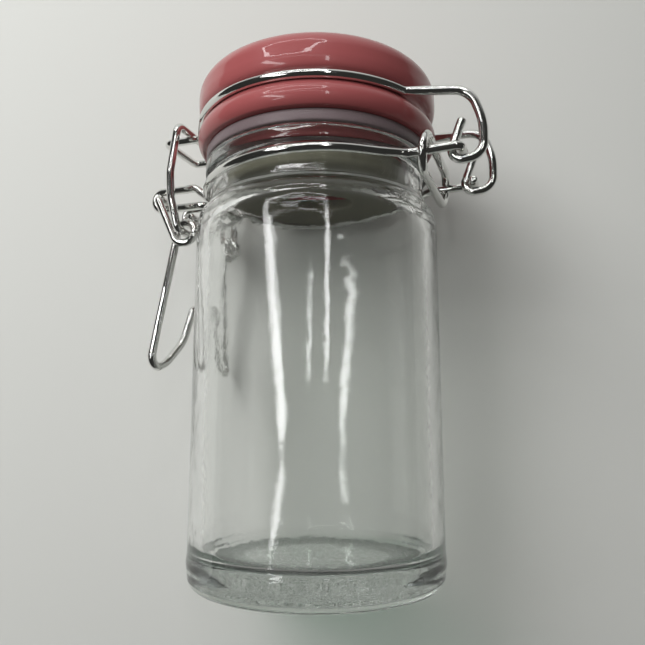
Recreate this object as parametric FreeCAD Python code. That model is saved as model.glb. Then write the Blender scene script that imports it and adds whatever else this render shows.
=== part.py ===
"""A clip-top glass canister: glass jar, glazed lid, seal and bent-wire closure.

Millimetres, +Z up, base on z = 0. The hinge is at +X and the latch at -X, and the
closure is the same on both sides of the XZ plane. One STEP file per real piece.
"""

import FreeCAD, Part

import math
import os

V = FreeCAD.Vector
UP = V(0, 0, 1)

WIRE_R = 0.8            # every wire is 1.6 mm steel

# jar
BODY_R = 23.0
WALL = 2.3
BASE_THICK = 5.0
SHOULDER_Z = 64.5       # end of the straight wall
NECK_R = 20.5           # outside of the neck, where the collar wire lies
NECK_BORE_R = 18.3
NECK_Z = 69.8
BEAD_R = 21.7
BEAD_Z = 75.0
RIM_Z = 77.72

# lid and seal
SEAL_Z = 77.76
SEAL_R = 21.6
LID_Z = 79.95
LID_R = 23.3
LID_TOP = 94.2
PLUG_R = 17.1
PLUG_Z = 71.6
GROOVE_R = 22.5         # centre line of the wire in the lid's groove
GROOVE_Z = 85.5

# hinge
HINGE_X = 29.5
HINGE_Z = 74.35
LID_ARM_Y = 8.2
COLLAR_ARM_Y = 10.0
CLIP_X = 23.35            # the clip that holds the collar's arms together
CLIP_Z = 74.2
CLIP_TURN_R = 3.3
CLIP_LEAN = 7           # degrees, its upper side away from the jar

# collar
COLLAR_R = NECK_R + WIRE_R
COLLAR_Z = 72.9
COLLAR_SLOPE = 0.035    # it sits a little higher at the hinge
EAR_Y = 5.6
EAR_TURN_R = 1.85

# latch
PIVOT_X = -31.6         # the lever's pins, in the collar's ears
PIVOT_Z = 73.3
TONGUE_Y = 5.75
TONGUE_X = -31.2
CRANK_Y = 7.85
HANDLE_Y = 6.2
COIL_X = -25.4          # the link's pins, in the lever's coils
COIL_Z = 65.5
COIL_R = 2.2
LINK_Y = 9.7
BAR_X = -26.2           # the link's crossbar, over the tongue
BAR_Z = 87.3


def save(shape, node):
    """Write one piece as its own STEP file."""
    if not shape.isValid():
        print("not valid:", node)
    shape.exportStep("parts/" + node + ".step")
    print(node, len(shape.Solids), round(shape.Volume, 1), shape.BoundBox)


def turned(outline):
    """Spin a closed outline about the Z axis. A row is (r, z) for a straight side,
    or (r, z, through_r, through_z) for an arc that ends at r, z."""
    edges = []
    last = V(outline[0][0], 0, outline[0][1])
    for row in outline[1:] + outline[:1]:
        here = V(row[0], 0, row[1])
        if len(row) == 4:
            edges.append(Part.Arc(last, V(row[2], 0, row[3]), here).toShape())
        else:
            edges.append(Part.makeLine(last, here))
        last = here
    face = Part.Face(Part.Wire(edges))
    return face.revolve(V(0, 0, 0), UP, 360)


def middle(r, z, radius, degrees):
    """The point of an arc about r, z in a direction, for turned()."""
    angle = math.radians(degrees)
    return r + radius * math.cos(angle), z + radius * math.sin(angle)


def bent(rows, closed=False):
    """Steel wire along straight runs with round bends. A row is (x, y, z, bend),
    where bend is the centre-line radius at that corner."""
    points = [V(*row[:3]) for row in rows]
    count = len(points)
    corners = range(count) if closed else range(1, count - 1)
    arcs = {}
    for n in corners:
        here = points[n]
        back = (points[n - 1] - here).normalize()
        on = (points[(n + 1) % count] - here).normalize()
        half = back.getAngle(on) / 2
        reach = rows[n][3] / math.tan(half)
        inward = (back + on).normalize()
        centre = here + inward * (rows[n][3] / math.sin(half))
        start = here + back * reach
        end = here + on * reach
        arcs[n] = start, centre - inward * rows[n][3], end
    edges = []
    last = arcs[count - 1][2] if closed else points[0]
    for n in corners:
        start, through, end = arcs[n]
        if (start - last).Length > 1e-6:
            edges.append(Part.makeLine(last, start))
        edges.append(Part.Arc(start, through, end).toShape())
        last = end
    if not closed:
        edges.append(Part.makeLine(last, points[-1]))
    path = Part.Wire(edges)
    first = edges[0]
    begin = first.valueAt(first.FirstParameter)
    along = first.tangentAt(first.FirstParameter)
    ring = Part.Wire(Part.makeCircle(WIRE_R, begin, along))
    shape = path.makePipeShell([ring], True, False)
    if not shape.Solids:
        shape = Part.makeSolid(shape)
    return shape


def mirrored(rows):
    """The same run of wire on the +Y side, in the opposite order."""
    return [(x, -y, z, bend) for x, y, z, bend in reversed(rows)]


def arc_corners(radius, start, end, steps, height):
    """Corners that round off to a level arc about the Z axis. Angles in degrees."""
    turn = math.radians(end - start) / steps
    out = radius / math.cos(turn / 2)
    rows = []
    for n in range(steps):
        angle = math.radians(start) + turn * (n + 0.5)
        x = out * math.cos(angle)
        rows.append((x, out * math.sin(angle), height(x), 0.97 * radius))
    return rows


def coil_corners(start, end, steps):
    """Corners of the lever's coil, turning anticlockwise seen from -Y, from the
    direction start to the direction end. It steps from the crank to the handle."""
    turn = math.radians(end + 360 - start) / steps
    out = COIL_R / math.cos(turn / 2)
    rows = []
    for n in range(steps):
        angle = math.radians(start) + turn * (n + 0.5) - math.pi / 2
        x = COIL_X + out * math.cos(angle)
        z = COIL_Z + out * math.sin(angle)
        y = CRANK_Y + (HANDLE_Y - CRANK_Y) * (n + 0.5) / steps
        rows.append((x, -y, z, 0.95 * COIL_R))
    return rows


def glass_jar():
    inner_r = BODY_R - WALL
    foot = middle(20.7, 2.2, 2.2, -45)
    shoulder = middle(18.6, SHOULDER_Z, 4.4, 40)
    inside = middle(16.6, SHOULDER_Z, 4.1, 40)
    floor = middle(18.0, 7.8, 2.7, -45)
    outline = [
        (0, 0.9),
        (13.6, 0.9),
        (15.2, 0),
        (20.7, 0),
        (22.9, 2.2, *foot),
        (23.15, 4.4),
        (23.15, 5.0),
        (BODY_R, 5.4),
        (BODY_R, SHOULDER_Z),
        (21.5, 68.0, *middle(18.0, SHOULDER_Z, 5.0, 22)),
        (NECK_R, NECK_Z, 20.75, 68.85),
        (NECK_R, 74.2),
        (BEAD_R, BEAD_Z),
        (BEAD_R, 76.6),
        (20.6, RIM_Z, *middle(20.6, 76.6, 1.11, 45)),
        (18.9, RIM_Z),
        (NECK_BORE_R, 77.1, 18.48, 77.54),
        (NECK_BORE_R, 69.2),
        (19.2, 67.0, 18.55, 68.0),
        (inner_r, 63.0, 20.3, 65.1),
        (inner_r, 7.7),
        (18.0, BASE_THICK + 0.1, *floor),
        (0, BASE_THICK),
    ]
    return turned(outline)


def gasket():
    ring = Part.makeCylinder(SEAL_R, LID_Z - SEAL_Z, V(0, 0, SEAL_Z))
    bore = Part.makeCylinder(PLUG_R, LID_Z - SEAL_Z, V(0, 0, SEAL_Z))
    ring = ring.cut(bore)
    outer = [e for e in ring.Edges if abs(e.BoundBox.XMax - SEAL_R) < 1e-3
             and e.BoundBox.ZLength < 1e-3]
    return ring.makeFillet(0.35, outer)


def lid():
    seat = WIRE_R + 0.05
    edge_r = GROOVE_R - 0.3
    half = math.sqrt(seat ** 2 - 0.3 ** 2)
    low = GROOVE_Z - half
    high = GROOVE_Z + half
    top_r = LID_R - 3.8
    top_z = LID_TOP - 3.8
    outline = [
        (0, 79.4),
        (6.7, 79.4),
        (6.7, PLUG_Z + 0.6),
        (7.3, PLUG_Z, 6.88, 71.78),
        (16.1, PLUG_Z),
        (PLUG_R, PLUG_Z + 1.0, *middle(16.1, PLUG_Z + 1.0, 1.0, -45)),
        (PLUG_R, LID_Z),
        (21.6, LID_Z),
        (edge_r, low, LID_R, 82.3),
        (edge_r, high, GROOVE_R - seat, GROOVE_Z),
        (LID_R, 88.9, 23.0, 87.4),
        (LID_R, top_z),
        (top_r, LID_TOP, *middle(top_r, top_z, 3.8, 45)),
        (0, LID_TOP),
    ]
    return turned(outline)


def lid_wire():
    tongue = 180 - math.degrees(math.asin(TONGUE_Y / GROOVE_R))
    arm = [
        (29.75, -LID_ARM_Y, 79.8, 0),
        (26.85, -LID_ARM_Y, 72.3, 1.8),
        (33.0, -LID_ARM_Y, 72.7, 2.6),
        (33.2, -LID_ARM_Y, 78.8, 5.0),
        (31.2, -8.65, 84.6, 4.2),
        (20.1, -10.35, GROOVE_Z, 1.2),
    ]
    level = lambda x: GROOVE_Z
    ring = arc_corners(GROOVE_R, -31, -tongue + 2, 8, level)
    out = [
        (-22.9, -TONGUE_Y, GROOVE_Z, 1.5),
        (TONGUE_X, -TONGUE_Y, GROOVE_Z + 0.1, 1.2),
    ]
    near = arm + ring + out
    return bent(near + mirrored(near))


def collar_wire():
    def height(x):
        return COLLAR_Z + COLLAR_SLOPE * x

    hinge = [
        (HINGE_X, -6.3, HINGE_Z, 0),
        (HINGE_X, -COLLAR_ARM_Y, HINGE_Z, 1.2),
        (20.3, -COLLAR_ARM_Y, HINGE_Z - 0.2, 3.0),
    ]
    ring = arc_corners(COLLAR_R, -32, -162, 7, height)
    top = PIVOT_Z + EAR_TURN_R
    low = PIVOT_Z - EAR_TURN_R
    end_x = PIVOT_X - EAR_TURN_R
    ear = [
        (-21.0, -EAR_Y, 72.6, 1.2),
        (-24.2, -EAR_Y, top, 1.5),
        (end_x, -EAR_Y, top, EAR_TURN_R - 0.002),
        (end_x, -EAR_Y, low, EAR_TURN_R - 0.002),
        (-21.6, -EAR_Y, 71.3, 1.5),
    ]
    near = hinge + ring + ear + [(-21.35, 0, 71.2, 30)]
    far = mirrored(hinge + ring + ear)
    return bent(near + far)


def hinge_ring():
    end_y = COLLAR_ARM_Y + 2 * WIRE_R + 0.1
    lean = math.radians(CLIP_LEAN)
    rows = []
    for y, side in ((-end_y, -1), (-end_y, 1), (end_y, 1), (end_y, -1)):
        x = CLIP_X + side * CLIP_TURN_R * math.sin(lean)
        z = CLIP_Z + side * CLIP_TURN_R * math.cos(lean)
        rows.append((x, y, z, CLIP_TURN_R - 0.002))
    return bent(rows, closed=True)


def lever_wire():
    down = -64.3            # the crank's direction, tangent to the coil
    hang = -103             # the handle's direction as it leaves the coil
    crank = [
        (PIVOT_X, -4.5, PIVOT_Z, 0),
        (PIVOT_X, -CRANK_Y, PIVOT_Z, 1.1),
    ]
    coil = coil_corners(down, hang, 8)
    handle = [
        (-28.5, -8.3, 54.0, 14.0),
        (-28.8, -10.3, 45.5, 14.0),
        (-28.7, -12.2, 38.6, 1.9),
        (-28.6, -7.9, 38.9, 5.0),
        (-27.4, -3.1, 44.2, 8.0),
        (-26.6, -1.1, 51.2, 1.1),
    ]
    near = crank + coil + handle
    return bent(near + mirrored(near))


def link_wire():
    near = [
        (COIL_X, -5.0, COIL_Z, 0),
        (COIL_X, -LINK_Y, COIL_Z, 1.1),
        (-27.2, -LINK_Y, 72.2, 9.0),
        (-27.6, -LINK_Y, 77.5, 9.0),
        (BAR_X, -LINK_Y, BAR_Z, 1.6),
    ]
    return bent(near + mirrored(near))


os.makedirs("parts", exist_ok=True)
PIECES = [
    glass_jar,
    lid,
    gasket,
    collar_wire,
    hinge_ring,
    lid_wire,
    link_wire,
    lever_wire,
]
for piece in PIECES:
    save(piece(), piece.__name__)
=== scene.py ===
"""Looks of the clip-top glass canister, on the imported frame. Sizes are in millimetres
until they reach Blender, which works in metres."""

import math

import bpy
from mathutils import Matrix, Vector


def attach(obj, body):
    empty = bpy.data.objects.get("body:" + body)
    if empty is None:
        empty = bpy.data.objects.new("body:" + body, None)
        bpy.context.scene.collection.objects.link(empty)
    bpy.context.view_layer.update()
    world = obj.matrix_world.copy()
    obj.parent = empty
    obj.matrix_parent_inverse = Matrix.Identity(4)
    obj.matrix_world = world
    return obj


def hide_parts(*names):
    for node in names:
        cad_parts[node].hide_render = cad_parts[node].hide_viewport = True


MM = 0.001
WIRE_R = 0.8
TURN = math.radians(20)         # the hinge is turned this far round from the camera's right
CAMERA_AT = (1.08, -122.45, 27.42)
CAMERA_RISE = math.radians(9.15)    # it looks up by this much
LENS = 36.25                    # focal length, for a sensor 36 wide
SENSOR = 36
BOARD_AT = 24.2                 # from the jar's axis to the pale board just behind it
BOARD_MIDDLE_Z = 170
BOARD_SIZE = (640, 430)
BOARD_COLOUR = (0.66, 0.665, 0.635, 1)

# the room's light, as linear colours
DARK_ROOM = (0.03, 0.03, 0.028, 1)
LIGHT_CEILING = (0.75, 0.76, 0.74, 1)
FILL = (0.13, 0.13, 0.125, 1)
PALE = (0.50, 0.50, 0.475, 1)
THROUGH_GLASS = (0.20, 0.20, 0.19, 1)

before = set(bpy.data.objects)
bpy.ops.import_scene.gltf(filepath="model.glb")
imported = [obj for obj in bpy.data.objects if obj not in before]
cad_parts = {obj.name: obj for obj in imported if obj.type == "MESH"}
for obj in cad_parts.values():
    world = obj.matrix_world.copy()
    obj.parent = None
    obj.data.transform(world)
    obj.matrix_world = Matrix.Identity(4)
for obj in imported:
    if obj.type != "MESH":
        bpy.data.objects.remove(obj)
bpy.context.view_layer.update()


def seen(x, y, z):
    """A place given from the camera's side (X right, Y away), in the row frame, metres."""
    return Matrix.Rotation(TURN, 3, "Z") @ Vector((x, y, z)) * MM


# ---------------------------------------------------------------- materials

def principled(name, **values):
    """A new material and its shader, with values set by the names of its sockets."""
    material = bpy.data.materials.new(name)
    material.use_nodes = True
    node = material.node_tree.nodes["Principled BSDF"]
    for key, value in values.items():
        node.inputs[key.replace("_", " ")].default_value = value
    return material, node


def add(material, kind, **inputs):
    """A new node in a material, with values set by the names of its sockets."""
    node = material.node_tree.nodes.new(kind)
    for key, value in inputs.items():
        node.inputs[key.replace("_", " ")].default_value = value
    return node


def join(material, source, target):
    material.node_tree.links.new(source, target)


def surface_of(material):
    """The socket that a material's look plugs into."""
    return material.node_tree.nodes["Material Output"].inputs["Surface"]


def roughen(material, shader, scale, strength, distance, detail=2.0):
    """Fine unevenness of a surface, in object space. Gives the noise that makes it."""
    place = add(material, "ShaderNodeTexCoord")
    noise = add(material, "ShaderNodeTexNoise", Scale=scale, Detail=detail)
    bump = add(material, "ShaderNodeBump", Strength=strength, Distance=distance)
    join(material, place.outputs["Object"], noise.inputs["Vector"])
    join(material, noise.outputs["Fac"], bump.inputs["Height"])
    join(material, bump.outputs["Normal"], shader.inputs["Normal"])
    return noise


def glass_look(name, roughness, unevenness):
    """Slightly green glass that lets most light through to what lies behind it. Gives
    the material, its shader and the noise that makes it uneven."""
    glass, shader = principled(
        name,
        Base_Color=(0.985, 0.99, 0.985, 1),
        Roughness=roughness,
        IOR=1.5,
        Transmission_Weight=1.0,
    )
    noise = roughen(glass, shader, *unevenness)
    through = add(glass, "ShaderNodeBsdfTransparent", Color=(0.73, 0.74, 0.73, 1))
    ray = add(glass, "ShaderNodeLightPath")
    mix = add(glass, "ShaderNodeMixShader")
    join(glass, ray.outputs["Is Shadow Ray"], mix.inputs["Fac"])
    join(glass, shader.outputs["BSDF"], mix.inputs[1])
    join(glass, through.outputs["BSDF"], mix.inputs[2])
    join(glass, mix.outputs["Shader"], surface_of(glass))
    tint = add(glass, "ShaderNodeVolumeAbsorption", Color=(0.70, 0.86, 0.79, 1), Density=4.0)
    volume = glass.node_tree.nodes["Material Output"].inputs["Volume"]
    join(glass, tint.outputs["Volume"], volume)
    return glass, shader, noise


def clear_glass():
    """The jar's polished walls, with a faint grain from the mould."""
    return glass_look("clear_glass", 0.0, (260, 0.10, 0.0006, 8.0))[0]


def pebbled_glass_painted_shade():
    """The pebbled underside of the jar's foot, with painted shade: the hollows between the
    pebbles are coloured near black, which darkens the foot.
    """
    glass, shader, pebbles_and_painted_shade = glass_look("pebbled_glass_painted_shade", 0.05, (1900, 1.0, 0.002, 1.0))
    # painted shade: the low places of the pebble noise are near black, the high places a
    # pale green tint
    ramp = add(glass, "ShaderNodeValToRGB")
    ramp.color_ramp.elements[0].position = 0.42
    ramp.color_ramp.elements[0].color = (0.04, 0.07, 0.055, 1)
    ramp.color_ramp.elements[1].position = 0.60
    ramp.color_ramp.elements[1].color = (0.90, 0.98, 0.93, 1)
    join(glass, pebbles_and_painted_shade.outputs["Fac"], ramp.inputs["Fac"])
    join(glass, ramp.outputs["Color"], shader.inputs["Base Color"])
    return glass


def glaze():
    """Glossy clear coat over a softer red, very slightly wavy."""
    material, shader = principled(
        "red_glaze",
        Base_Color=(0.34, 0.088, 0.09, 1),
        Roughness=0.28,
        Specular_IOR_Level=0.15,
        Coat_Weight=0.75,
        Coat_Roughness=0.03,
        Coat_IOR=1.42,
    )
    roughen(material, shader, 140, 0.05, 0.0006)
    return material


def bisque_in_painted_shade():
    """Bare fired clay, matt and gritty. Its dark olive colour is painted shade, for the
    shade it lies in inside the jar.
    """
    material, shader = principled(
        "bare_ceramic_painted_shade", Base_Color=(0.15, 0.145, 0.105, 1), Roughness=0.75
    )
    roughen(material, shader, 900, 0.2, 0.0003)
    return material


def silicone():
    """Cloudy grey rubber that a little light goes into."""
    material, shader = principled(
        "silicone",
        Base_Color=(0.26, 0.20, 0.21, 1),
        Roughness=0.35,
        Transmission_Weight=0.35,
        IOR=1.41,
    )
    roughen(material, shader, 1100, 0.25, 0.0004)
    return material


def zinc():
    """Bright plated steel with faint drawing marks."""
    material, shader = principled(
        "bright_wire", Base_Color=(0.74, 0.74, 0.72, 1), Roughness=0.1, Metallic=1.0
    )
    roughen(material, shader, 700, 0.05, 0.0004)
    return material


# ---------------------------------------------------------------- shapes

def arc(r, z, radius, start, end, steps=10):
    """Points of an arc in the half-plane of a turned piece. Angles in degrees."""
    rows = []
    for n in range(steps + 1):
        angle = math.radians(start + (end - start) * n / steps)
        rows.append((r + radius * math.cos(angle), z + radius * math.sin(angle)))
    return rows


def straight(r0, z0, r1, z1, steps):
    """Points along a side, ends included."""
    rows = []
    for n in range(steps + 1):
        share = n / steps
        rows.append((r0 + (r1 - r0) * share, z0 + (z1 - z0) * share))
    return rows


def soft(rows, rounds=2):
    """Rounds the corners of an open outline by cutting them off."""
    for _ in range(rounds):
        cut = [rows[0]]
        for (r0, z0), (r1, z1) in zip(rows, rows[1:]):
            cut.append((0.75 * r0 + 0.25 * r1, 0.75 * z0 + 0.25 * z1))
            cut.append((0.25 * r0 + 0.75 * r1, 0.25 * z0 + 0.75 * z1))
        rows = cut + [rows[-1]]
    return rows


def turned(name, rows, materials, pick=None, around=160, wave=None):
    """A mesh of an outline spun about Z. Rows on the axis close it there. pick gives
    a face's material from its middle r and z. wave moves a point by (r, angle, z)."""
    verts = []
    rings = []
    for r, z in rows:
        if r < 1e-6:
            rings.append([len(verts)])
            verts.append((0, 0, z * MM))
            continue
        ring = []
        for n in range(around):
            angle = 2 * math.pi * n / around
            off = wave(r, angle, z) if wave else 0
            ring.append(len(verts))
            x = (r + off) * math.cos(angle)
            y = (r + off) * math.sin(angle)
            verts.append((x * MM, y * MM, z * MM))
        rings.append(ring)
    faces = []
    slots = []
    closed = len(rings[0]) > 1
    pairs = list(zip(rings, rings[1:])) + ([(rings[-1], rings[0])] if closed else [])
    heights = rows + rows[:1]
    for k, (low, high) in enumerate(pairs):
        middle_r = (heights[k][0] + heights[k + 1][0]) / 2
        middle_z = (heights[k][1] + heights[k + 1][1]) / 2
        chosen = pick(middle_r, middle_z) if pick else 0
        for n in range(around):
            on = (n + 1) % around
            if len(low) == 1:
                faces.append((low[0], high[on], high[n]))
            elif len(high) == 1:
                faces.append((low[n], low[on], high[0]))
            else:
                faces.append((low[n], low[on], high[on], high[n]))
            slots.append(chosen)
    mesh = bpy.data.meshes.new(name)
    mesh.from_pydata(verts, [], faces)
    for material in materials:
        mesh.materials.append(material)
    for face, chosen in zip(mesh.polygons, slots):
        face.material_index = chosen
        face.use_smooth = True
    made = bpy.data.objects.new(name, mesh)
    bpy.context.collection.objects.link(made)
    return made


def bent(rows, closed=False, step=4):
    """Points along straight runs with round bends, up to step degrees apart. A row is
    (x, y, z, bend), where bend is the centre-line radius at that corner."""
    points = [Vector(row[:3]) for row in rows]
    count = len(points)
    line = [] if closed else [points[0]]
    for n in range(count) if closed else range(1, count - 1):
        here = points[n]
        back = (points[n - 1] - here).normalized()
        on = (points[(n + 1) % count] - here).normalized()
        half = back.angle(on) / 2
        reach = rows[n][3] / math.tan(half)
        inward = (back + on).normalized()
        centre = here + inward * (rows[n][3] / math.sin(half))
        start = here + back * reach - centre
        axis = back.cross(on)
        turn = math.pi - 2 * half
        pieces = max(2, math.ceil(math.degrees(turn) / step))
        for k in range(pieces + 1):
            spin = Matrix.Rotation(-turn * k / pieces, 3, axis)
            line.append(centre + spin @ start)
    return line if closed else line + [points[-1]]


def rounded_ends(line, edge=0.45):
    """The line with round edges at its cut ends, as (point, share of the wire's radius)."""
    ends = []
    for tip, before in ((line[0], line[1]), (line[-1], line[-2])):
        back = (before - tip).normalized()
        end = []
        for angle in (90, 68, 45, 22, 0):
            inset = edge * (1 - math.sin(math.radians(angle)))
            share = 1 - edge / WIRE_R * (1 - math.cos(math.radians(angle)))
            end.append((tip + back * inset, share))
        ends.append(end)
    return ends[0] + [(point, 1) for point in line[1:-1]] + ends[1][::-1]


def wire(name, rows, material, closed=False):
    """A round wire along a bent line, as a mesh with rounded cut ends."""
    curve = bpy.data.curves.new(name, "CURVE")
    curve.dimensions = "3D"
    curve.bevel_depth = WIRE_R * MM
    curve.bevel_resolution = 6
    curve.use_fill_caps = True
    line = bent(rows, closed)
    sized = [(point, 1) for point in line] if closed else rounded_ends(line)
    spline = curve.splines.new("POLY")
    spline.points.add(len(sized) - 1)
    for point, (at, share) in zip(spline.points, sized):
        point.co = (*(at * MM), 1)
        point.radius = share
    spline.use_cyclic_u = closed
    spline.use_smooth = True
    shown = bpy.data.objects.new(name, curve)
    bpy.context.collection.objects.link(shown)
    bpy.context.view_layer.update()
    graph = bpy.context.evaluated_depsgraph_get()
    mesh = bpy.data.meshes.new_from_object(shown.evaluated_get(graph))
    bpy.data.objects.remove(shown)
    mesh.materials.clear()
    mesh.materials.append(material)
    for face in mesh.polygons:
        face.use_smooth = len(face.vertices) == 4
    made = bpy.data.objects.new(name, mesh)
    bpy.context.collection.objects.link(made)
    return made


def mirrored(rows):
    """The same run of wire on the +Y side, in the opposite order."""
    return [(x, -y, z, bend) for x, y, z, bend in reversed(rows)]


def arc_corners(radius, start, end, steps, height):
    """Corners that round off to a level arc about the Z axis. Angles in degrees."""
    turn = math.radians(end - start) / steps
    out = radius / math.cos(turn / 2)
    rows = []
    for n in range(steps):
        angle = math.radians(start) + turn * (n + 0.5)
        x = out * math.cos(angle)
        rows.append((x, out * math.sin(angle), height(x), 0.97 * radius))
    return rows


# ---------------------------------------------------------------- the jar

BODY_R = 23.0
INNER_R = 20.7
NECK_R = 20.5           # outside of the neck, where the collar wire lies
BORE_R = 18.3
BEAD_R = 21.7
RIM_Z = 77.72
FLOOR_Z = 5.0           # inside, at the middle
FOOT_R = 21.0           # the pebbled underside is within this, and below the height
FOOT_Z = 1.0


def jar_outside():
    """From the middle of the underside, up the outside, to the top of the rim."""
    rows = [(0, 0.9), (13.2, 0.9)]
    rows += soft([(14.0, 0.8), (15.2, 0.05), (16.4, 0)])
    rows += arc(20.7, 2.2, 2.2, -90, 0)
    rows += soft([(BODY_R, 3.0), (23.15, 4.0), (23.15, 5.1), (BODY_R, 5.7), (BODY_R, 6.6)])
    rows += straight(BODY_R, 7.5, BODY_R, 63.5, 24)
    shoulder = [(BODY_R, 64.4), (22.9, 66.2), (21.6, 68.2), (20.6, 69.2), (NECK_R, 70.6)]
    rows += soft(shoulder, 3)
    rows += [(NECK_R, 72.4)]
    rows += soft([(NECK_R, 73.8), (20.6, 74.4), (BEAD_R, 74.9), (BEAD_R, 75.7)])
    rows += arc(BEAD_R - 1.0, RIM_Z - 1.0, 1.0, 0, 90, 6)
    return rows


def jar_inside():
    """From the top of the rim, down the inside, to the middle of the floor."""
    rows = arc(BORE_R + 0.65, RIM_Z - 0.65, 0.65, 90, 180, 5)
    rows += straight(BORE_R, 76.0, BORE_R, 70.6, 4)
    shoulder = [(BORE_R, 69.6), (18.5, 68.2), (19.8, 66.4), (20.6, 64.6), (INNER_R, 62.8)]
    rows += soft(shoulder, 3)
    rows += straight(INNER_R, 61.5, INNER_R, 9.0, 24)
    rows += arc(INNER_R - 2.7, 7.8, 2.7, 0, -90)
    rows += [(16.6, 5.15), (12.0, 5.05), (6.0, FLOOR_Z), (0, FLOOR_Z)]
    return rows


def ripple(r, angle, z):
    """Pressed glass is uneven inside: a slow wave of up to 0.06 mm."""
    if z < 6 or z > 69 or r > 20.9:
        return 0
    slow = math.sin(3 * angle + 0.05 * z) * 0.04
    quick = math.sin(7 * angle + 0.11 * z + 1.3) * 0.012
    return slow + quick + math.sin(0.19 * z + 2 * angle) * 0.012


def foot_or_wall(r, z):
    """Which of the jar's two materials a face has: the foot's is 1."""
    return 1 if z < FOOT_Z and r < FOOT_R else 0


# ---------------------------------------------------------------- the wires

# a pair is x and z, or r and z for the groove, and a Y is how far a wire lies from the
# middle plane, all at centre lines
HINGE = (29.5, 74.35)
LID_ARM_Y = 8.2
COLLAR_ARM_Y = 10.0
CLIP = (23.35, 74.2)            # the ring that holds the collar's arms together
CLIP_R = 3.3
CLIP_LEAN = math.radians(7)     # its upper side is away from the jar
COLLAR_R = NECK_R + WIRE_R
COLLAR_Z = 72.9
COLLAR_SLOPE = 0.035            # it sits a little higher at the hinge
EAR_Y = 5.6
EAR_R = 1.85
PIVOT = (-31.6, 73.3)           # the lever's pins, in the collar's ears
CRANK_Y = 7.85
HANDLE_Y = 6.2
COIL = (-25.4, 65.5)            # the link's pins, in the lever's coils
COIL_R = 2.2
CRANK_WAY = math.radians(-64.3)     # the crank's direction as it meets the coil
HANDLE_WAY = math.radians(-103)     # the handle's direction as it leaves the coil
LINK_Y = 9.7
BAR = (-26.2, 87.3)             # the link's crossbar, over the tongue
GROOVE = (22.5, 85.5)
TONGUE_X = -31.2
TONGUE_Y = 5.75


def lid_wire_rows():
    tongue = 180 - math.degrees(math.asin(TONGUE_Y / GROOVE[0]))
    arm = [
        (29.75, -LID_ARM_Y, 79.8, 0),
        (26.85, -LID_ARM_Y, 72.3, 1.8),
        (33.0, -LID_ARM_Y, 72.7, 2.6),
        (33.2, -LID_ARM_Y, 78.8, 12.0),
        (31.2, -8.65, 84.6, 4.2),
        (20.1, -10.35, GROOVE[1], 1.2),
    ]
    ring = arc_corners(GROOVE[0], -31, -tongue + 2, 8, lambda x: GROOVE[1])
    out = [
        (-22.9, -TONGUE_Y, GROOVE[1], 1.5),
        (TONGUE_X, -TONGUE_Y, GROOVE[1] + 0.1, 1.2),
    ]
    near = arm + ring + out
    return near + mirrored(near)


def collar_rows():
    hinge = [
        (HINGE[0], -6.3, HINGE[1], 0),
        (HINGE[0], -COLLAR_ARM_Y, HINGE[1], 1.2),
        (20.3, -COLLAR_ARM_Y, HINGE[1] - 0.2, 3.0),
    ]
    ring = arc_corners(COLLAR_R, -32, -162, 7, lambda x: COLLAR_Z + COLLAR_SLOPE * x)
    high = PIVOT[1] + EAR_R
    low = PIVOT[1] - EAR_R
    end = PIVOT[0] - EAR_R
    ear = [
        (-21.0, -EAR_Y, 72.6, 1.2),
        (-24.2, -EAR_Y, high, 1.5),
        (end, -EAR_Y, high, EAR_R - 0.002),
        (end, -EAR_Y, low, EAR_R - 0.002),
        (-21.6, -EAR_Y, 71.3, 1.5),
    ]
    near = hinge + ring + ear
    return near + [(-21.35, 0, 71.2, 30)] + mirrored(near)


def clip_rows():
    end = COLLAR_ARM_Y + 2 * WIRE_R + 0.1
    rows = []
    for y, side in ((-end, -1), (-end, 1), (end, 1), (end, -1)):
        x = CLIP[0] + side * CLIP_R * math.sin(CLIP_LEAN)
        z = CLIP[1] + side * CLIP_R * math.cos(CLIP_LEAN)
        rows.append((x, y, z, CLIP_R - 0.002))
    return rows


def coil_corners(steps=8):
    """Corners of the lever's coil, stepping from the crank to the handle."""
    turn = (HANDLE_WAY - CRANK_WAY + 2 * math.pi) / steps
    out = COIL_R / math.cos(turn / 2)
    rows = []
    for n in range(steps):
        angle = CRANK_WAY + turn * (n + 0.5) - math.pi / 2
        x = COIL[0] + out * math.cos(angle)
        y = CRANK_Y + (HANDLE_Y - CRANK_Y) * (n + 0.5) / steps
        z = COIL[1] + out * math.sin(angle)
        rows.append((x, -y, z, 0.95 * COIL_R))
    return rows


def lever_rows():
    crank = [
        (PIVOT[0], -4.5, PIVOT[1], 0),
        (PIVOT[0], -CRANK_Y, PIVOT[1], 1.1),
    ]
    handle = [
        (-28.5, -8.3, 54.0, 14.0),
        (-28.8, -10.3, 45.5, 14.0),
        (-28.7, -12.2, 38.6, 1.9),
        (-28.6, -7.9, 38.9, 5.0),
        (-27.4, -3.1, 44.2, 8.0),
        (-26.6, -1.1, 51.2, 1.1),
    ]
    near = crank + coil_corners() + handle
    return near + mirrored(near)


def link_rows():
    near = [
        (COIL[0], -5.0, COIL[1], 0),
        (COIL[0], -LINK_Y, COIL[1], 1.1),
        (-27.2, -LINK_Y, 72.2, 9.0),
        (-27.6, -LINK_Y, 77.5, 9.0),
        (BAR[0], -LINK_Y, BAR[1], 1.6),
    ]
    return near + mirrored(near)


# ---------------------------------------------------------------- the lid and seal

LID_R = 23.3
LID_TOP = 94.2
CROWN_R = 3.8           # rounding of the lid's top edge
LOW_RIDGE_R = 2.85
PLUG_R = 17.1
PLUG_Z = 71.6
BARE_BELOW = 75.5       # the plug is unglazed up to this height


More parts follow.
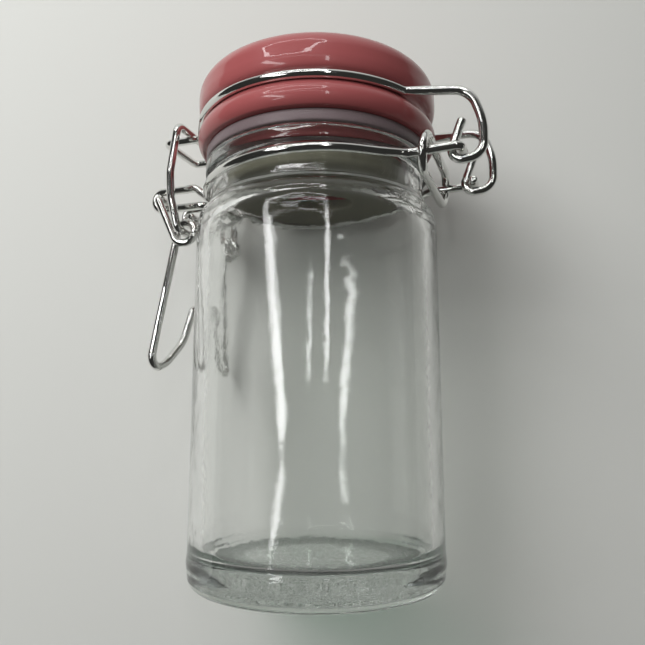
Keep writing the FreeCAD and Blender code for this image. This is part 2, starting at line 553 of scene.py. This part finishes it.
def lid_outline():
    """From the middle of the underside, round the plug and both ridges, to the top."""
    seat = WIRE_R + 0.05
    rows = [(0, 79.4), (6.2, 79.4)]
    rows += soft([(6.5, 79.3), (6.7, 78.9), (6.7, 73.0), (6.8, 71.8), (7.6, PLUG_Z)])
    rows += straight(9.0, PLUG_Z, 15.6, PLUG_Z, 3)
    rows += arc(PLUG_R - 1.0, PLUG_Z + 1.0, 1.0, -80, 0, 6)
    rows += straight(PLUG_R, 74.0, PLUG_R, 79.6, 3)
    rows += soft([(PLUG_R, 79.95), (21.4, 79.95), (21.9, 80.1)], 2)
    rows += arc(LID_R - LOW_RIDGE_R, 82.22, LOW_RIDGE_R, -50, 48, 14)
    rows += arc(GROOVE[0], GROOVE[1], seat, 246, 114, 9)
    rows += soft([(22.35, 86.4), (23.0, 87.0), (LID_R, 88.3), (LID_R, 89.6)], 3)
    rows += arc(LID_R - CROWN_R, LID_TOP - CROWN_R, CROWN_R, 2, 88, 18)
    rows += [(15, LID_TOP), (8, LID_TOP - 0.03), (0, LID_TOP - 0.05)]
    return rows


def glazed_or_bare(r, z):
    """Which of the lid's two materials a face has: the bare one, dark with painted shade, is
    1.
    """
    return 1 if z < BARE_BELOW else 0


def seal_outline():
    """A flat ring with a soft outer edge, closed round its bore."""
    rows = soft([(PLUG_R, 79.9), (PLUG_R, 77.8), (21.2, 77.8)], 1)[1:]
    rows += soft([(21.3, 77.78), (21.6, 78.0), (21.6, 79.7), (21.4, 79.93)])
    return rows


GLASS = clear_glass()
FOOT = pebbled_glass_painted_shade()
WIRE = zinc()
RED = glaze()
# the bare clay's dark colour is painted shade
BARE = bisque_in_painted_shade()
SOFT = silicone()

jar = turned("jar", jar_outside() + jar_inside(), [GLASS, FOOT], foot_or_wall, 192, ripple)
lid = turned("lid_glazed", lid_outline(), [RED, BARE], glazed_or_bare, 192)
seal = turned("seal", seal_outline(), [SOFT], None, 160)
lid_ring = wire("lid_bail", lid_wire_rows(), WIRE)
collar = wire("collar", collar_rows(), WIRE)
clip = wire("clip", clip_rows(), WIRE, closed=True)
lever = wire("lever", lever_rows(), WIRE)
link = wire("link", link_rows(), WIRE)

PIECES = [
    (jar, "jar", "glass_jar", "clear_glass"),
    (lid, "lid_assembly", "lid", "glazed_ceramic"),
    (seal, "lid_assembly", "gasket", "silicone"),
    (lid_ring, "lid_assembly", "lid_wire", "zinc_wire"),
    (collar, "jar", "collar_wire", "zinc_wire"),
    (clip, "jar", "hinge_ring", "zinc_wire"),
    (lever, "lever", "lever_wire", "zinc_wire"),
    (link, "link", "link_wire", "zinc_wire"),
]
for piece, body, node, slot in PIECES:
    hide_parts(node)
    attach(piece, body)


# ---------------------------------------------------------------- the board behind it

def board_look():
    """Plain pale board. Only its front is there, so the jar can be seen from behind."""
    board, shader = principled("board", Base_Color=BOARD_COLOUR, Roughness=0.7)
    shader.inputs["Specular IOR Level"].default_value = 0.2
    side = add(board, "ShaderNodeNewGeometry")
    away = add(board, "ShaderNodeBsdfTransparent")
    mix = add(board, "ShaderNodeMixShader")
    join(board, side.outputs["Backfacing"], mix.inputs["Fac"])
    join(board, shader.outputs["BSDF"], mix.inputs[1])
    join(board, away.outputs["BSDF"], mix.inputs[2])
    join(board, mix.outputs["Shader"], surface_of(board))
    return board


def flat(name, width, height, material):
    """An upright sheet in its own X and Y, centred on its origin."""
    w = width * MM / 2
    h = height * MM / 2
    mesh = bpy.data.meshes.new(name)
    mesh.from_pydata([(-w, -h, 0), (w, -h, 0), (w, h, 0), (-w, h, 0)], [], [(0, 1, 2, 3)])
    mesh.materials.append(material)
    made = bpy.data.objects.new(name, mesh)
    bpy.context.collection.objects.link(made)
    return made


def facing(right, up, at):
    """A matrix whose X is right and Y is up, both given from the camera's side."""
    x = (Matrix.Rotation(TURN, 3, "Z") @ Vector(right)).normalized()
    y = (Matrix.Rotation(TURN, 3, "Z") @ Vector(up)).normalized()
    z = x.cross(y)
    made = Matrix((x, y, z)).transposed().to_4x4()
    made.translation = seen(*at)
    return made


board = flat("board", *BOARD_SIZE, board_look())
board.matrix_world = facing((1, 0, 0), (0, 0, 1), (0, BOARD_AT, BOARD_MIDDLE_Z))


# ---------------------------------------------------------------- light and camera

MIDDLE_Z = 45           # the jar's middle, which the lights face
BARS_AWAY = 480
LOOP_MIDDLE = (-21, 45.48)      # azimuth and elevation
LOOP_HALF = (31, 14)            # half its width and height, in degrees
LOOP_RISE = 0.12                # how much it climbs per degree to the right
LOOP_WIDTH = 13
LOOP_STRENGTH = 14


def glow(name, strength):
    material = bpy.data.materials.new(name)
    material.use_nodes = True
    nodes = material.node_tree.nodes
    nodes.remove(nodes["Principled BSDF"])
    shine = add(material, "ShaderNodeEmission", Color=(1, 1, 1, 1), Strength=strength)
    join(material, shine.outputs["Emission"], surface_of(material))
    return material


def strip(name, ends, width, strength):
    """A glowing bar between two places given from the camera's side, facing the jar."""
    a = Vector(ends[0])
    b = Vector(ends[1])
    middle = (a + b) / 2
    along = (b - a).normalized()
    inward = (Vector((0, 0, MIDDLE_Z)) - middle).normalized()
    across = along.cross(inward).normalized()
    bar = flat(name, width, (b - a).length, glow(name, strength))
    bar.matrix_world = facing(across, along, middle)
    bar.visible_camera = False


def from_jar(azimuth, elevation):
    """A bar's end by its direction from the jar. Azimuth 0 is the camera's, right is +."""
    a = math.radians(azimuth)
    e = math.radians(elevation)
    level = BARS_AWAY * math.cos(e)
    return level * math.sin(a), -level * math.cos(a), MIDDLE_Z + BARS_AWAY * math.sin(e)


def loop_bars(count=12):
    """A closed oval of bars, higher towards the right."""
    corners = []
    for n in range(count):
        angle = 2 * math.pi * n / count
        across = LOOP_HALF[0] * math.cos(angle)
        up = LOOP_HALF[1] * math.sin(angle) + LOOP_RISE * across
        corners.append((LOOP_MIDDLE[0] + across, LOOP_MIDDLE[1] + up))
    ends = zip(corners, corners[1:] + corners[:1])
    return [(start, end, LOOP_WIDTH, LOOP_STRENGTH) for start, end in ends]


# bright bars: a frame that the jar's side mirrors, and the oval above it for the lid's
# ridges. A row is the two ends, as azimuth and elevation from the jar, the width in mm,
# and the strength.
BARS = [
    ((-28, -3), (-46, 21), 46, 9),
    ((-46, 21), (9, 21), 5, 9),
    ((9, 4), (9, 21), 24, 9),
    ((-38, -14), (-27, -6), 26, 7),
]
BARS += loop_bars()
for n, (start, end, width, strength) in enumerate(BARS):
    strip("bar_%d" % n, (from_jar(*start), from_jar(*end)), width, strength)


def key_light(at, size, power):
    """A soft square light, itself left out of reflections and unseen through glass."""
    data = bpy.data.lights.new("key", "AREA")
    data.shape = "SQUARE"
    data.size = size * MM
    data.energy = power
    made = bpy.data.objects.new("key", data)
    bpy.context.collection.objects.link(made)
    made.location = seen(*at)
    towards = seen(0, 0, MIDDLE_Z) - made.location
    made.rotation_euler = towards.to_track_quat("-Z", "Y").to_euler()
    made.visible_glossy = False
    made.visible_transmission = False


key_light(at=(-250, -300, 265), size=240, power=1.25)


def room():
    """Pale where it is seen directly, and dimmer through glass; in mirror-like
    reflections a dark room that is lighter overhead; elsewhere an even dim light."""
    world = bpy.data.worlds.new("room")
    bpy.context.scene.world = world
    world.use_nodes = True
    nodes = world.node_tree.nodes
    links = world.node_tree.links

    def plug(value, socket):
        if isinstance(value, bpy.types.NodeSocket):
            links.new(value, socket)
        else:
            socket.default_value = value

    def compute(operation, a, b):
        node = nodes.new("ShaderNodeMath")
        node.operation = operation
        plug(a, node.inputs[0])
        plug(b, node.inputs[1])
        return node.outputs[0]

    def mixed(share, at_zero, at_one):
        node = nodes.new("ShaderNodeMixRGB")
        plug(share, node.inputs["Fac"])
        plug(at_zero, node.inputs["Color1"])
        plug(at_one, node.inputs["Color2"])
        return node.outputs["Color"]

    way = nodes.new("ShaderNodeTexCoord")
    split = nodes.new("ShaderNodeSeparateXYZ")
    links.new(way.outputs["Generated"], split.inputs["Vector"])
    overhead = nodes.new("ShaderNodeValToRGB")
    links.new(split.outputs["Z"], overhead.inputs["Fac"])
    low, high = overhead.color_ramp.elements
    low.position = 0.55
    low.color = DARK_ROOM
    high.position = 0.95
    high.color = LIGHT_CEILING

    ray = nodes.new("ShaderNodeLightPath").outputs
    inside = compute("GREATER_THAN", ray["Transmission Depth"], 0.5)
    mirrored_room = mixed(inside, overhead.outputs["Color"], THROUGH_GLASS)
    unseen = mixed(ray["Is Glossy Ray"], FILL, mirrored_room)
    direct = compute("MAXIMUM", ray["Is Camera Ray"], ray["Is Transmission Ray"])
    unscattered = compute("LESS_THAN", ray["Diffuse Depth"], 0.5)
    visible = compute("MULTIPLY", direct, unscattered)
    backdrop = mixed(ray["Is Transmission Ray"], PALE, THROUGH_GLASS)
    plug(mixed(visible, unseen, backdrop), nodes["Background"].inputs["Color"])


room()


def camera():
    data = bpy.data.cameras.new("camera")
    data.sensor_width = SENSOR
    data.lens = LENS
    data.clip_start = 0.002
    data.clip_end = 20
    made = bpy.data.objects.new("camera", data)
    bpy.context.collection.objects.link(made)
    up = (0, -math.sin(CAMERA_RISE), math.cos(CAMERA_RISE))
    made.matrix_world = facing((1, 0, 0), up, CAMERA_AT)
    bpy.context.scene.camera = made


camera()

scene = bpy.context.scene
scene.cycles.max_bounces = 16
scene.cycles.transmission_bounces = 14
scene.cycles.glossy_bounces = 14
scene.cycles.transparent_max_bounces = 16
scene.view_settings.view_transform = "Standard"
scene.view_settings.look = "None"
